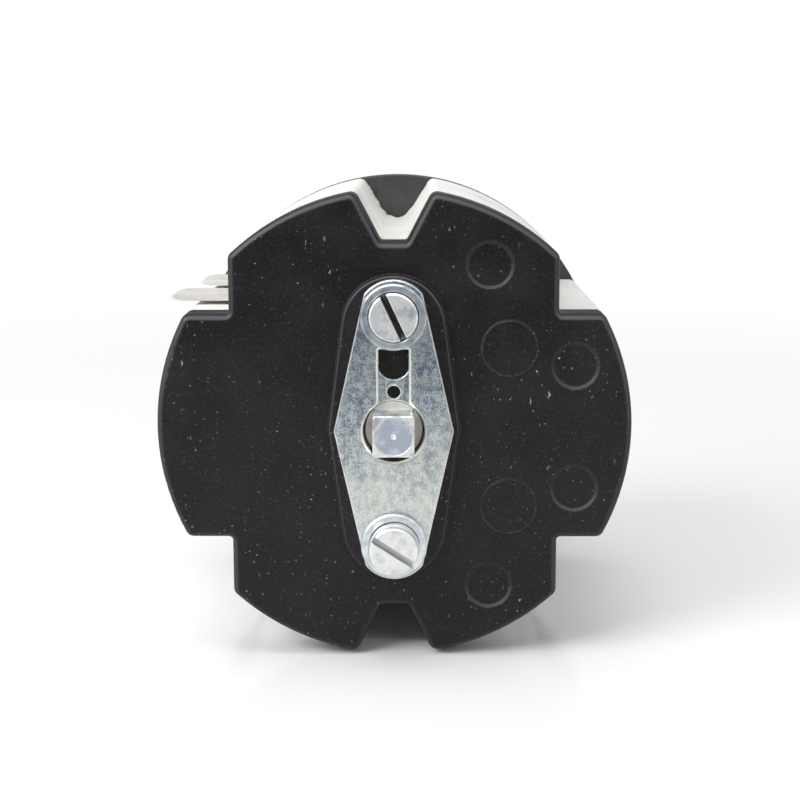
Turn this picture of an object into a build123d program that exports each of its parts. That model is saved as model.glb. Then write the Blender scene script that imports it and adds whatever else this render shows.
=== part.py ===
from build123d import *

import os
from math import radians, sqrt, tan

# Rotary mains switch: two contact wafers stacked behind a notched front housing, turned by a square spindle.
# The spindle lies along Y and faces the viewer at -Y. X is to the right and Z is up.
# The origin is on the spindle's axis, in the front face of the fixing strap.

# Outline of the housing and the wafers
body_diameter = 58.0
notch_wall = 20.0
notch_ledge = 13.9
v_floor = 22.6
v_floor_width = 3.15
v_half_angle = 27.5
rim_corner_radius = 1.1
inner_corner_radius = 0.5
wafer_v_radius = 1.2
front_edge_fillet = 0.9
wafer_edge_fillet = 0.35

# Depth of the stacked body, and the thickness of its layers from front to back
body_depth = 39.2
strap_thickness = 1.2
boss_height = 1.1
plate_thickness = 4.4
cover_thickness = 4.2
wafer_thickness = (body_depth - plate_thickness - cover_thickness) / 2

# Clamp studs, collars, nuts and washers
stud_pitch = 28.0
stud_diameter = 5.9
stud_hole_clearance = 0.2
stud_chamfer = 0.2
stud_slot_width = 0.8
stud_slot_depth = 1.1
upper_stud_proud = 0.4
lower_stud_proud = 2.5
upper_slot_angle = -65.0
lower_slot_angle = -33.0
stud_tail = 1.2
collar_diameter = 8.0
collar_height = 0.8
collar_chamfer = 0.2
collar_mouth_chamfer = 0.1
collar_spigot_diameter = 7.0
thread_clearance = 0.1
press_clearance = 0.02
washer_diameter = 12.0
washer_thickness = 1.2
nut_across_flats = 10.0
nut_thickness = 5.0
nut_chamfer = 0.5

# Fixing strap and the tongue under it
strap_waist = 14.5
strap_end_radius = 4.4
strap_end_width = 7.0
strap_corner_radius = 0.5
strap_edge_fillet = 0.2
spindle_window_diameter = 7.4
slot_width = 3.6
slot_end = stud_pitch / 2 - collar_diameter / 2
slot_corner_radius = 0.15
keyhole_neck_radius = 1.0
keyhole_chamfer = 0.25
tongue_thickness = 1.0
tongue_width = 5.8
tongue_end = stud_pitch / 2 - collar_spigot_diameter / 2 - press_clearance
tongue_corner_radius = 0.6
tongue_fork_width = 3.9
tongue_fork_foot = 8.1
tongue_small_hole = 1.6
tongue_small_hole_above_journal = 1.12
pocket_clearance = 0.05
pick_tolerance = 0.01

# Raised lozenge boss and the moulded discs on the housing's face
boss_waist = 16.0
boss_end_radius = 6.3
boss_end_setback = 1.5
boss_waist_radius = 3.0
boss_edge_fillet = 0.4
pad_radius = 3.4
pad_height = 0.2
pad_position = (14.0, 9.8)
mark_radius = 2.9
mark_depth = 0.3
mark_wall_taper = 45.0
mark_positions = ((11.6, 19.9), (22.0, 7.6))

# Spindle
spindle_square = 5.0
spindle_edge_chamfer = 0.25
spindle_reach = 2.7
spindle_end_chamfer = 0.12
spindle_mark_diameter = 4.6
spindle_mark_depth = 0.1
spindle_centre_diameter = 0.5
spindle_centre_depth = 0.15
journal_diameter = 7.0
journal_sink = 0.2
journal_clearance = 0.05
rear_journal_diameter = 4.8
square_hole_clearance = 0.05
clip_thickness = 0.6
clip_outer_diameter = 9.0
clip_groove_diameter = 3.8
clip_gap = 0.15
clip_mouth_angle = 70.0
spindle_tail = 1.0

# Detent and stop inside the front housing
front_wall = 1.3
axial_gap = 0.1
stop_disc_thickness = 1.0
stop_disc_radius = 5.4
stop_lug_radius = 8.0
stop_lug_angle = 40.0
turn_angle = 90.0
stop_slack_angle = 0.5
radial_gap = 0.3
cam_across_flats = 11.0
cam_corner_radius = 6.9
detent_spring_thickness = 0.4
detent_spring_length = 18.0
detent_gap = 0.05

# Contact chamber of each wafer
chamber_wall = 0.95
barrier_thickness = 0.8
barrier_lip = 0.65
chamber_clearance = 0.25
chamber_floor = 2.0
rotor_diameter = 11.0
rotor_neck = 7.6
rotor_neck_depth = 1.0
rotor_end_gap = 0.2
bridge_thickness = 1.0
bridge_width = 5.0
bridge_ear_thickness = 1.0
bridge_ear_length = 4.5
moving_tip_thickness = 0.7
tip_width = 3.2
tip_length = 3.6
fixed_tip_thickness = 0.5
contact_gap = 0.05

# Fixed contacts with blade terminals
terminal_thickness = 0.8
terminal_width = 6.3
terminal_reach = 26.8
front_line_reach = 28.4
blade_tip_length = 1.2
blade_tip_taper = 0.25
terminal_height_above_ledge = 0.5
terminal_foot = 2.4
terminal_bend_radius = 1.2
blade_chamfer = 0.5

# Small slots in the wafers' rims for levering the stack apart
pry_slot_width = 1.6
pry_slot_depth = 1.2
pry_slot_length = 1.4
pry_slot_angle = 24.0

# Rear cover
cover_edge_fillet = 0.8

# Depths along Y, worked out from the layers
boss_front = strap_thickness
plate_front = boss_front + boss_height
plate_back = plate_front + plate_thickness
wafer_fronts = {"front": plate_back, "rear": plate_back + wafer_thickness}
cover_front = plate_back + 2 * wafer_thickness
cover_back = cover_front + cover_thickness
washer_back = cover_back + washer_thickness
nut_back = washer_back + nut_thickness
cavity_front = plate_front + front_wall
stop_disc_front = cavity_front + axial_gap
stop_disc_back = stop_disc_front + stop_disc_thickness
cam_front = stop_disc_back + axial_gap
cam_back = plate_back - axial_gap
clip_front = cover_back + clip_gap
clip_back = clip_front + clip_thickness

# Radii worked out from the driving sizes
body_radius = body_diameter / 2
stud_height = stud_pitch / 2
stud_radius = stud_diameter / 2
stud_hole_radius = stud_radius + stud_hole_clearance
journal_bore_radius = journal_diameter / 2 + journal_clearance
square_hole = spindle_square + 2 * square_hole_clearance
neck_hole = rotor_neck + 2 * pocket_clearance
cavity_radius = max(cam_corner_radius, stop_lug_radius) + radial_gap
barrier_seat_radius = stud_height - stud_hole_radius - chamber_wall
chamber_radius = barrier_seat_radius - barrier_lip
contact_reach = chamber_radius - chamber_clearance
ear_reach = contact_reach - moving_tip_thickness
fixed_tip_face = contact_reach + contact_gap
terminal_inner = fixed_tip_face + fixed_tip_thickness
terminal_outer = terminal_inner + terminal_thickness
terminal_low = notch_ledge + terminal_height_above_ledge
terminal_high = terminal_low + terminal_thickness
spindle_swing = spindle_square / sqrt(2)

os.makedirs("parts", exist_ok=True)


def layer(depth):
    """Sketch plane that faces the front, this far behind the strap's face."""
    return Plane.XZ.offset(-depth)


def save(builder, name):
    """Name a finished piece and write it to its own file."""
    builder.part.label = name
    export_step(builder.part, f"parts/{name}.step")


def corners_near(corners, x, z):
    """The corners at this place, in all four quarters."""
    return corners.filter_by(
        lambda corner: abs(abs(corner.X) - x) < pick_tolerance and abs(abs(corner.Y) - z) < pick_tolerance
    )


def notched_outline(sketch, v_radius):
    """Round outline with a square notch at each corner and a V notch at top and bottom."""
    Circle(body_radius)
    spread_x = 2 * notch_wall + body_diameter
    spread_z = 2 * notch_ledge + body_diameter
    with GridLocations(spread_x, spread_z, 2, 2):
        Rectangle(body_diameter, body_diameter, mode=Mode.SUBTRACT)
    v_half_floor = v_floor_width / 2
    v_half_mouth = v_half_floor + (body_radius - v_floor) * tan(radians(v_half_angle))
    for side in (1, -1):
        Polygon(
            (-v_half_floor, side * v_floor),
            (v_half_floor, side * v_floor),
            (v_half_mouth, side * body_radius),
            (-v_half_mouth, side * body_radius),
            align=None,
            mode=Mode.SUBTRACT,
        )
    corners = sketch.vertices().filter_by(lambda vertex: abs(vertex.Y) > notch_ledge / 2)
    on_rim = corners.filter_by(lambda vertex: Vector(vertex).length > body_radius - pick_tolerance)
    fillet(on_rim, rim_corner_radius)
    corners = sketch.vertices().filter_by(lambda vertex: abs(vertex.Y) > notch_ledge / 2)
    fillet(corners_near(corners, notch_wall, notch_ledge), inner_corner_radius)
    fillet(corners_near(sketch.vertices(), v_half_floor, v_floor), v_radius)


def strap_outline(sketch):
    """Lozenge with its widest point at the spindle and a round end past each stud."""
    half_end = strap_end_width / 2
    corner_height = stud_height + sqrt(strap_end_radius**2 - half_end**2)
    tip_height = stud_height + strap_end_radius
    with BuildLine() as outline:
        Polyline((-half_end, -corner_height), (-strap_waist / 2, 0), (-half_end, corner_height))
        ThreePointArc((-half_end, corner_height), (0, tip_height), (half_end, corner_height))
        Polyline((half_end, corner_height), (strap_waist / 2, 0), (half_end, -corner_height))
        ThreePointArc((half_end, -corner_height), (0, -tip_height), (-half_end, -corner_height))
    make_face(outline.edges())
    fillet(sketch.vertices(), strap_corner_radius)


def boss_outline():
    """Rounded lozenge that the strap lies on."""
    end_centre = stud_height - boss_end_setback
    waist_centre = boss_waist / 2 - boss_waist_radius
    with BuildLine() as circles:
        CenterArc((0, end_centre), boss_end_radius, 0, 360)
        CenterArc((0, -end_centre), boss_end_radius, 0, 360)
        CenterArc((waist_centre, 0), boss_waist_radius, 0, 360)
        CenterArc((-waist_centre, 0), boss_waist_radius, 0, 360)
    make_hull(circles.edges())


def tongue_outline(clearance):
    """Upright tongue above the spindle, hollowed round the spindle's journal."""
    foot = journal_diameter / 2
    height = tongue_end + clearance - foot / 2
    with Locations((0, foot / 2 + height / 2)):
        RectangleRounded(tongue_width + 2 * clearance, height, tongue_corner_radius)


def sector_outline(outer_radius, middle_angle, full_angle, mode=Mode.ADD):
    """Pie slice round the spindle's axis."""
    with BuildLine() as slice_edge:
        arc = CenterArc((0, 0), outer_radius, middle_angle - full_angle / 2, full_angle)
        Line((0, 0), arc @ 0)
        Line(arc @ 1, (0, 0))
    make_face(slice_edge.edges(), mode=mode)


def blade_outline(side, reach, clearance):
    """Bent contact strip: a level blade with a thinned tip, and an upright leg beside the rotor."""
    low = terminal_low - clearance
    high = terminal_high + clearance
    outer = terminal_outer + clearance
    inner = terminal_inner - clearance
    foot = -terminal_foot - clearance
    tip_start = reach - blade_tip_length
    corners = (
        (-reach, low + blade_tip_taper),
        (-tip_start, low),
        (-outer, low),
        (-outer, foot),
        (-inner, foot),
        (-inner, high),
        (-tip_start, high),
        (-reach, high - blade_tip_taper),
    )
    Polygon(*((side * x, side * z) for x, z in corners), align=None)


# Front housing
with BuildPart() as front_housing:
    with BuildSketch(layer(plate_back)) as housing_face:
        notched_outline(housing_face, inner_corner_radius)
    extrude(amount=plate_thickness)
    fillet(front_housing.faces().sort_by(Axis.Y)[0].edges(), front_edge_fillet)
    with BuildSketch(layer(plate_front)):
        boss_outline()
    extrude(amount=boss_height)
    fillet(front_housing.faces().sort_by(Axis.Y)[0].edges(), boss_edge_fillet)
    with BuildSketch(layer(plate_front)):
        with Locations(pad_position, (pad_position[0], -pad_position[1])):
            Circle(pad_radius)
    extrude(amount=pad_height)
    with BuildSketch(layer(plate_front)):
        with Locations(*mark_positions, *((x, -z) for x, z in mark_positions)):
            Circle(mark_radius)
    extrude(amount=-mark_depth, taper=mark_wall_taper, mode=Mode.SUBTRACT)
    with BuildSketch(layer(boss_front)):
        with Locations((0, stud_height), (0, -stud_height)):
            Circle(stud_hole_radius)
    extrude(amount=boss_front - plate_back, mode=Mode.SUBTRACT)
    with BuildSketch(layer(boss_front)):
        Circle(journal_bore_radius)
    extrude(amount=boss_front - cavity_front, mode=Mode.SUBTRACT)
    with BuildSketch(layer(boss_front)):
        tongue_outline(pocket_clearance)
    extrude(amount=-(tongue_thickness + pocket_clearance), mode=Mode.SUBTRACT)
    # Pocket that lets the stop lug turn from straight down to the left
    with BuildSketch(layer(cavity_front)):
        Circle(stop_disc_radius + radial_gap)
        pocket_angle = turn_angle + stop_lug_angle + 2 * stop_slack_angle
        sector_outline(stop_lug_radius + radial_gap, -90 - turn_angle / 2, pocket_angle)
    extrude(amount=cavity_front - stop_disc_back - axial_gap / 2, mode=Mode.SUBTRACT)
    with BuildSketch(layer(plate_back)):
        Circle(cavity_radius)
        spring_middle = cam_across_flats / 2 + detent_gap + detent_spring_thickness / 2
        with Locations((spring_middle, 0), (-spring_middle, 0)):
            Rectangle(
                detent_spring_thickness + 2 * detent_gap,
                detent_spring_length + 2 * detent_gap,
            )
    extrude(amount=plate_back - stop_disc_back - axial_gap / 2, mode=Mode.SUBTRACT)
save(front_housing, "front_housing")

# Fixing strap with its keyhole
with BuildPart() as fixing_strap:
    with BuildSketch(layer(strap_thickness)) as strap_face:
        strap_outline(strap_face)
        Circle(spindle_window_diameter / 2, mode=Mode.SUBTRACT)
        with Locations((0, slot_end / 2)):
            RectangleRounded(slot_width, slot_end, slot_corner_radius, mode=Mode.SUBTRACT)
        neck_height = sqrt(spindle_window_diameter**2 - slot_width**2) / 2
        neck_corners = corners_near(strap_face.vertices(), slot_width / 2, neck_height)
        fillet(neck_corners, keyhole_neck_radius)
        with Locations((0, stud_height), (0, -stud_height)):
            Circle(collar_spigot_diameter / 2 + press_clearance, mode=Mode.SUBTRACT)
    extrude(amount=strap_thickness)
    outer_rim = fixing_strap.faces().sort_by(Axis.Y)[0].outer_wire().edges()
    fillet(outer_rim, strap_edge_fillet)
    holes = fixing_strap.faces().sort_by(Axis.Y)[0].inner_wires()
    keyhole = holes.sort_by(SortBy.LENGTH)[-1]
    chamfer(keyhole.edges(), keyhole_chamfer)
save(fixing_strap, "fixing_strap")

# Forked tongue seen through the strap's slot
with BuildPart() as index_tongue:
    with BuildSketch(layer(boss_front + tongue_thickness)):
        tongue_outline(0)
        Circle(journal_bore_radius + pocket_clearance, mode=Mode.SUBTRACT)
        fork_length = tongue_end - tongue_fork_foot
        with Locations((0, tongue_fork_foot)):
            Circle(tongue_fork_width / 2, mode=Mode.SUBTRACT)
        with Locations((0, tongue_fork_foot + fork_length / 2)):
            Rectangle(tongue_fork_width, fork_length, mode=Mode.SUBTRACT)
        with Locations((0, journal_diameter / 2 + tongue_small_hole_above_journal)):
            Circle(tongue_small_hole / 2, mode=Mode.SUBTRACT)
    extrude(amount=tongue_thickness)
save(index_tongue, "index_tongue")

# Collars, slotted studs, washers and nuts at the top and the bottom
stud_sets = (
    ("upper", stud_height, upper_stud_proud, upper_slot_angle),
    ("lower", -stud_height, lower_stud_proud, lower_slot_angle),
)
for place, height, proud, slot_angle in stud_sets:
    with BuildPart() as collar:
        with BuildSketch(layer(0)):
            with Locations((0, height)):
                Circle(collar_diameter / 2)
        extrude(amount=collar_height)
        with BuildSketch(layer(strap_thickness)):
            with Locations((0, height)):
                Circle(collar_spigot_diameter / 2)
        extrude(amount=strap_thickness)
        with BuildSketch(layer(strap_thickness)):
            with Locations((0, height)):
                Circle(stud_radius + thread_clearance)
        extrude(amount=strap_thickness + collar_height, mode=Mode.SUBTRACT)
        collar_face = collar.faces().sort_by(Axis.Y)[0]
        chamfer(collar_face.outer_wire().edges(), collar_chamfer)
        mouth = collar.faces().sort_by(Axis.Y)[0].inner_wires()[0].edges()
        chamfer(mouth, collar_mouth_chamfer)
    save(collar, f"{place}_collar")

    stud_front = -collar_height - proud
    with BuildPart() as stud:
        with BuildSketch(layer(nut_back + stud_tail)):
            with Locations((0, height)):
                Circle(stud_radius)
        extrude(amount=nut_back + stud_tail - stud_front)
        ends = stud.faces().filter_by(Axis.Y).edges()
        chamfer(ends, stud_chamfer)
        with BuildSketch(layer(stud_front)):
            with Locations((0, height)):
                Rectangle(2 * stud_diameter, stud_slot_width, rotation=slot_angle)
        extrude(amount=-stud_slot_depth, mode=Mode.SUBTRACT)
    save(stud, f"{place}_stud")

    with BuildPart() as washer:
        with BuildSketch(layer(washer_back)):
            with Locations((0, height)):
                Circle(washer_diameter / 2)
                Circle(stud_hole_radius, mode=Mode.SUBTRACT)
        extrude(amount=washer_thickness)
    save(washer, f"{place}_washer")

    with BuildPart() as nut:
        with BuildSketch(layer(nut_back)):
            with Locations((0, height)):
                RegularPolygon(nut_across_flats / 2, 6, major_radius=False)
                Circle(stud_radius + thread_clearance, mode=Mode.SUBTRACT)
        extrude(amount=nut_thickness)
        with BuildSketch(layer(nut_back)):
            with Locations((0, height)):
                Circle(nut_across_flats / 2 + nut_chamfer)
        extrude(amount=nut_thickness, mode=Mode.INTERSECT)
    save(nut, f"{place}_nut")

# Spindle: square front end, front journal, square through the rotors, rear journal with a clip groove
with BuildPart() as spindle:
    with BuildSketch(layer(cover_front)):
        Rectangle(spindle_square, spindle_square)
    extrude(amount=cover_front + spindle_reach)
    chamfer(spindle.edges().filter_by(Axis.Y), spindle_edge_chamfer)
    chamfer(spindle.faces().sort_by(Axis.Y)[0].edges(), spindle_end_chamfer)
    with BuildSketch(layer(stop_disc_front)):
        Circle(journal_diameter / 2)
    extrude(amount=stop_disc_front - strap_thickness - journal_sink)
    with BuildSketch(layer(clip_back + spindle_tail)):
        Circle(rear_journal_diameter / 2)
    extrude(amount=clip_back + spindle_tail - cover_front)
    with BuildSketch(layer(clip_back)):
        Circle(rear_journal_diameter / 2)
        Circle(clip_groove_diameter / 2, mode=Mode.SUBTRACT)
    extrude(amount=clip_thickness, mode=Mode.SUBTRACT)
    with BuildSketch(layer(-spindle_reach)):
        Circle(spindle_mark_diameter / 2)
    extrude(amount=-spindle_mark_depth, mode=Mode.SUBTRACT)
    with BuildSketch(layer(-spindle_reach + spindle_mark_depth)):
        Circle(spindle_centre_diameter / 2)
    extrude(amount=-spindle_centre_depth, mode=Mode.SUBTRACT)
save(spindle, "spindle")

with BuildPart() as retaining_clip:
    with BuildSketch(layer(clip_back)):
        Circle(clip_outer_diameter / 2)
        Circle(clip_groove_diameter / 2 + press_clearance, mode=Mode.SUBTRACT)
        sector_outline(clip_outer_diameter, -90, clip_mouth_angle, mode=Mode.SUBTRACT)
    extrude(amount=clip_thickness)
save(retaining_clip, "retaining_clip")

# Stop disc with its lug, and the square detent cam
with BuildPart() as stop_disc:
    with BuildSketch(layer(stop_disc_back)):
        Circle(stop_disc_radius)
        sector_outline(stop_lug_radius, -90, stop_lug_angle)
        Rectangle(square_hole, square_hole, mode=Mode.SUBTRACT)
    extrude(amount=stop_disc_thickness)
save(stop_disc, "stop_disc")

with BuildPart() as detent_cam:
    with BuildSketch(layer(cam_back)):
        Rectangle(cam_across_flats, cam_across_flats)
        Circle(cam_corner_radius, mode=Mode.INTERSECT)
        Rectangle(square_hole, square_hole, mode=Mode.SUBTRACT)
    extrude(amount=cam_back - cam_front)
save(detent_cam, "detent_cam")

# Flat detent springs, one on each side of the cam
for side, side_name in ((-1, "left"), (1, "right")):
    with BuildPart() as detent_spring:
        with BuildSketch(layer(cam_back)):
            with Locations((side * spring_middle, 0)):
                Rectangle(detent_spring_thickness, detent_spring_length)
        extrude(amount=cam_back - cam_front)
    save(detent_spring, f"detent_spring_{side_name}")

# The two wafers, each with its barrier, rotor, bridge and fixed contacts
for place, wafer_front in wafer_fronts.items():
    wafer_back = wafer_front + wafer_thickness
    chamber_front = wafer_front + barrier_thickness
    chamber_back = wafer_back - chamber_floor
    contact_middle = wafer_front + wafer_thickness / 2
    rotor_front = chamber_front + rotor_end_gap
    rotor_back = chamber_back - rotor_end_gap
    bridge_front = contact_middle - bridge_thickness / 2
    bridge_back = contact_middle + bridge_thickness / 2
    strip_back = contact_middle + terminal_width / 2

    with BuildPart() as wafer:
        with BuildSketch(layer(wafer_back)) as wafer_face:
            notched_outline(wafer_face, wafer_v_radius)
        extrude(amount=wafer_thickness)
        end_rims = wafer.faces().filter_by(Axis.Y).edges()
        fillet(end_rims, wafer_edge_fillet)
        with BuildSketch(layer(wafer_front)):
            with Locations((0, stud_height), (0, -stud_height)):
                Circle(stud_hole_radius)
            Circle(spindle_swing + radial_gap)
        extrude(amount=-wafer_thickness, mode=Mode.SUBTRACT)
        with BuildSketch(layer(wafer_front)):
            Circle(barrier_seat_radius)
        extrude(amount=-barrier_thickness, mode=Mode.SUBTRACT)
        with BuildSketch(layer(chamber_front)):
            Circle(chamber_radius)
        extrude(amount=chamber_front - chamber_back, mode=Mode.SUBTRACT)
        # Slots for the contact strips, with windows into the chamber
        with BuildSketch(layer(strip_back + pocket_clearance)):
            blade_outline(1, terminal_reach, pocket_clearance)
            blade_outline(-1, terminal_reach, pocket_clearance)
            Rectangle(2 * terminal_inner, 2 * terminal_foot)
        extrude(amount=terminal_width + 2 * pocket_clearance, mode=Mode.SUBTRACT)
        with BuildSketch(layer(wafer_front)):
            with PolarLocations(body_radius, 2, 90 - pry_slot_angle, 2 * pry_slot_angle, endpoint=True):
                Rectangle(2 * pry_slot_depth, pry_slot_width)
        extrude(amount=-pry_slot_length, mode=Mode.SUBTRACT)
    save(wafer, f"wafer_{place}")

    with BuildPart() as barrier:
        with BuildSketch(layer(chamber_front)):
            Circle(barrier_seat_radius - pocket_clearance)
            Circle(spindle_swing + radial_gap, mode=Mode.SUBTRACT)
        extrude(amount=barrier_thickness)
    save(barrier, f"barrier_disc_{place}")

    with BuildPart() as rotor_base:
        with BuildSketch(layer(rotor_back)):
            Circle(rotor_diameter / 2)
        extrude(amount=rotor_back - bridge_back)
        with BuildSketch(layer(bridge_back)):
            Rectangle(rotor_neck, rotor_neck)
        extrude(amount=bridge_thickness + rotor_neck_depth)
        with BuildSketch(layer(rotor_back)):
            Rectangle(square_hole, square_hole)
        extrude(amount=rotor_back - rotor_front, mode=Mode.SUBTRACT)
    save(rotor_base, f"rotor_base_{place}")

    with BuildPart() as rotor_cap:
        with BuildSketch(layer(bridge_front)):
            Circle(rotor_diameter / 2)
            Rectangle(square_hole, square_hole, mode=Mode.SUBTRACT)
        extrude(amount=bridge_front - rotor_front)
        with BuildSketch(layer(bridge_front)):
            Rectangle(neck_hole, neck_hole)
        extrude(amount=rotor_neck_depth + pocket_clearance, mode=Mode.SUBTRACT)
    save(rotor_cap, f"rotor_cap_{place}")

    # The bridge stands upright at rest, a quarter turn from the fixed contacts
    ear_middle = ear_reach - bridge_ear_thickness / 2
    with BuildPart() as contact_bridge:
        with BuildSketch(layer(bridge_back)):
            Circle(rotor_diameter / 2)
            Rectangle(bridge_width, 2 * ear_middle)
            Rectangle(neck_hole, neck_hole, mode=Mode.SUBTRACT)
        extrude(amount=bridge_thickness)
        with BuildSketch(layer(contact_middle + bridge_ear_length / 2)):
            with Locations((0, ear_middle), (0, -ear_middle)):
                Rectangle(bridge_width, bridge_ear_thickness)
        extrude(amount=bridge_ear_length)
    save(contact_bridge, f"contact_bridge_{place}")

    with BuildPart() as bridge_tips:
        with BuildSketch(layer(contact_middle + tip_length / 2)):
            Rectangle(tip_width, 2 * contact_reach)
            Circle(contact_reach, mode=Mode.INTERSECT)
            Rectangle(2 * tip_width, 2 * ear_reach, mode=Mode.SUBTRACT)
        extrude(amount=tip_length)
    save(bridge_tips, f"bridge_tips_{place}")

    for side, end_name in ((1, "line"), (-1, "load")):
        reach = front_line_reach if (place, end_name) == ("front", "line") else terminal_reach
        with BuildPart() as terminal:
            with BuildSketch(layer(strip_back)) as strip:
                blade_outline(side, reach, 0)
                bend = strip.vertices().sort_by_distance((-side * terminal_inner, side * terminal_high))[0]
                fillet(bend, terminal_bend_radius)
            extrude(amount=terminal_width)
            blade_end = terminal.faces().sort_by(Axis.X)[0 if side > 0 else -1]
            chamfer(blade_end.edges().filter_by(Axis.Z), blade_chamfer)
        save(terminal, f"terminal_{place}_{end_name}")

        with BuildPart() as fixed_tip:
            with BuildSketch(layer(contact_middle + tip_length / 2)):
                with Locations((-side * (fixed_tip_face + fixed_tip_thickness / 2), 0)):
                    Rectangle(fixed_tip_thickness, tip_width)
            extrude(amount=tip_length)
        save(fixed_tip, f"fixed_tip_{place}_{end_name}")

# Rear cover
with BuildPart() as rear_cover:
    with BuildSketch(layer(cover_back)):
        Circle(body_radius)
    extrude(amount=cover_thickness)
    fillet(rear_cover.faces().sort_by(Axis.Y)[-1].edges(), cover_edge_fillet)
    with BuildSketch(layer(cover_back)):
        with Locations((0, stud_height), (0, -stud_height)):
            Circle(stud_hole_radius)
        Circle(rear_journal_diameter / 2 + journal_clearance)
    extrude(amount=cover_thickness, mode=Mode.SUBTRACT)
save(rear_cover, "rear_cover")
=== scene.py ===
import math

import bmesh
import bpy
from mathutils import Matrix, Vector


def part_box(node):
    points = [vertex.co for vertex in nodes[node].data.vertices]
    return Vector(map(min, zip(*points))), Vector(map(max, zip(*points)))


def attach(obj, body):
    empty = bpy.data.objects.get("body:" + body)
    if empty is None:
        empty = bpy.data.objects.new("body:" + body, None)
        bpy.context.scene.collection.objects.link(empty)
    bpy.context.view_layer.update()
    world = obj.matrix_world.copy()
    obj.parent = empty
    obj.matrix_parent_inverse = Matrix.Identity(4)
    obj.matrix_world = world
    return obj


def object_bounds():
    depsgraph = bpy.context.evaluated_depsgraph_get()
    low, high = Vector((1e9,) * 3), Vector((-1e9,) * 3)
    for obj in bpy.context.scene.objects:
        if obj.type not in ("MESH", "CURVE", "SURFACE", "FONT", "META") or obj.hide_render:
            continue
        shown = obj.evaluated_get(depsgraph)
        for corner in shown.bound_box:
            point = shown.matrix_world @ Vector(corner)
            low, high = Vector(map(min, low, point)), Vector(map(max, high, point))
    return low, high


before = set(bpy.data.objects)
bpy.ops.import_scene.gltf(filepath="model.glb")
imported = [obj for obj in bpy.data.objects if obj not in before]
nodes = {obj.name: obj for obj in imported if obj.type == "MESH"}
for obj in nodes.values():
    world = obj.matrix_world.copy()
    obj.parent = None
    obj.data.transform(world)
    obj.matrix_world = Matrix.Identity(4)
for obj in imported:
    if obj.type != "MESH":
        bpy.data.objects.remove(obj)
cad_low, cad_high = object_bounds()
scene = bpy.context.scene
scene.view_settings.view_transform = "Standard"

MM = 0.001
STUD_HEIGHT = 14.0 * MM
FLOOR = cad_low.z


def paint(red, green, blue):
    """Linear colour."""
    return (red, green, blue, 1.0)


def grey(value):
    return paint(value, value, value)


WHITE = grey(1.0)


# Shader helpers

AO_SAMPLES = 8
BEVEL_SAMPLES = 6
# Agreement of the rounded and the true surface direction on open faces and on worn edges
EDGE_OPEN, EDGE_WORN = 0.995, 0.90
# Radius of a speck as a share of its size: the least, and the range above it
SPECK_LEAST, SPECK_RANGE = 0.3, 0.8
SPECK_FAINTEST = 0.3


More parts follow.
